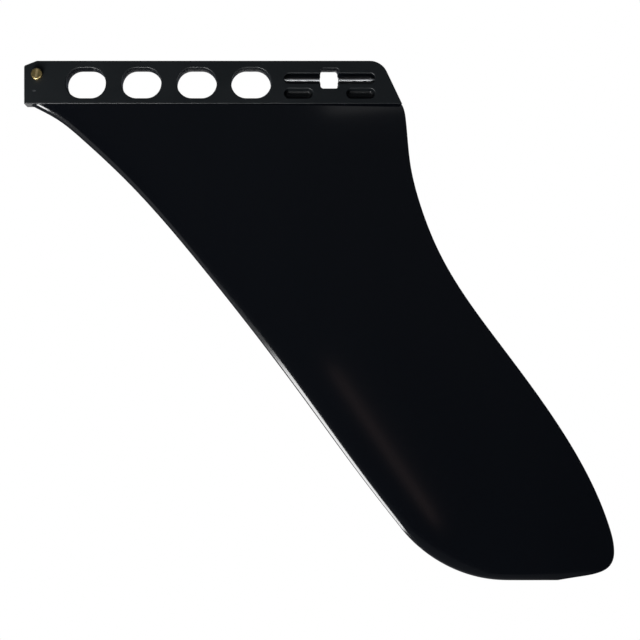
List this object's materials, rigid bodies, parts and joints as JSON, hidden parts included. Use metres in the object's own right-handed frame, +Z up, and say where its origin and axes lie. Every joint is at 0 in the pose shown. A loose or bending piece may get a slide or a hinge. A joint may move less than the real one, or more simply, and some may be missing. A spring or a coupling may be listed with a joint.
{
  "type": "paddleboard fin",
  "caption": "Swept moulded centre fin for a paddleboard, with a fin box tab, oval lightening holes, a brass cross pin and steel latch rods beside a square window.",
  "frame": {"origin": "middle of the brass cross pin, at the fin's mid thickness", "axes": "+X aft along the tab, +Y to starboard through the thickness, +Z up, with the tab on top and the blade hanging down as installed"},
  "size_m": [0.2517, 0.0126, 0.2215],
  "materials": {
    "black_moulding": "black injection moulding, satin on the tab and glossy on the blade",
    "pin_brass": "turned brass, slightly dulled",
    "rod_steel": "drawn stainless rod"
  },
  "bodies": {
    "root": {"fin_body": "black_moulding", "front_pin": "pin_brass", "front_latch_rod": "rod_steel", "rear_latch_rod": "rod_steel"}
  },
  "joints": []
}
